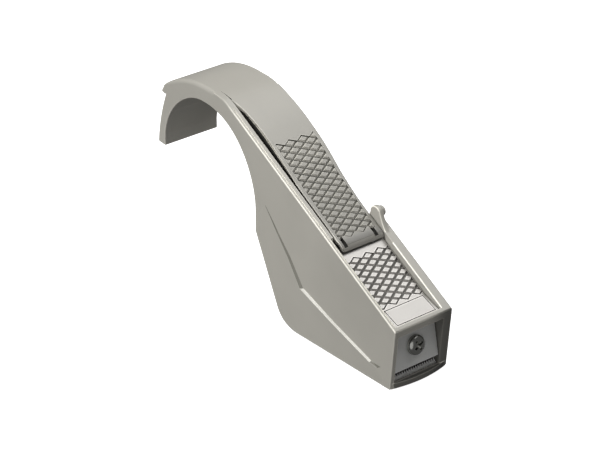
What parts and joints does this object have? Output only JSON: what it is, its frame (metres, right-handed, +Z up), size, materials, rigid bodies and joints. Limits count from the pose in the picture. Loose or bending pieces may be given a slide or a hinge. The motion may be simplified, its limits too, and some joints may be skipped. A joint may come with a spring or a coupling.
{
  "type": "tape dispenser",
  "caption": "Hand-held dispenser for wide filament tape: moulded frame ending in a hook, springy palm strip, sprung metal thumb plate and toothed cutter in the nose.",
  "frame": {"origin": "middle of the flat base under the nose end, on the surface it stands on", "axes": "+X towards the nose, +Y towards the open right side, +Z up"},
  "size_m": [0.1658, 0.0338, 0.0982],
  "materials": {
    "moulding": "warm light grey moulded plastic with a fine satin texture",
    "satin_steel": "bright satin nickel-plated steel",
    "brushed_plate": "vertically brushed steel",
    "screw_chrome": "bright plated",
    "insert_brass": "turned brass",
    "blade_steel": "ground spring steel",
    "roller_plastic": "natural acetal",
    "axle_steel": "drawn steel"
  },
  "bodies": {
    "frame_body": {"frame": "moulding", "front_plate": "brushed_plate", "clamp_screw": "screw_chrome", "screw_insert": "insert_brass", "cutter_blade": "blade_steel", "roller_axle": "axle_steel"},
    "palm_strip_body": {"palm_strip": "moulding"},
    "thumb_plate_body": {"thumb_plate": "satin_steel"},
    "roller_body": {"guide_roller": "roller_plastic"}
  },
  "joints": [
    {"name": "palm_strip_flex", "type": "hinge", "parent": "frame_body", "child": "palm_strip_body", "pos_m": [-0.081, 0, 0.0948], "axis": [0, 1, 0], "range_deg": [0, 0.8], "stiffness_Nm_per_rad": 3, "springref_deg": -0.57},
    {"name": "thumb_plate_press", "type": "hinge", "parent": "frame_body", "child": "thumb_plate_body", "pos_m": [0.031, 0, 0.0289], "axis": [0, 1, 0], "range_deg": [-3.5, 0], "stiffness_Nm_per_rad": 0.6, "springref_deg": 1.72},
    {"name": "guide_roller_spin", "type": "hinge", "parent": "frame_body", "child": "roller_body", "pos_m": [0.006, -0.0013, 0.03236], "axis": [0, 1, 0], "continuous": true}
  ]
}
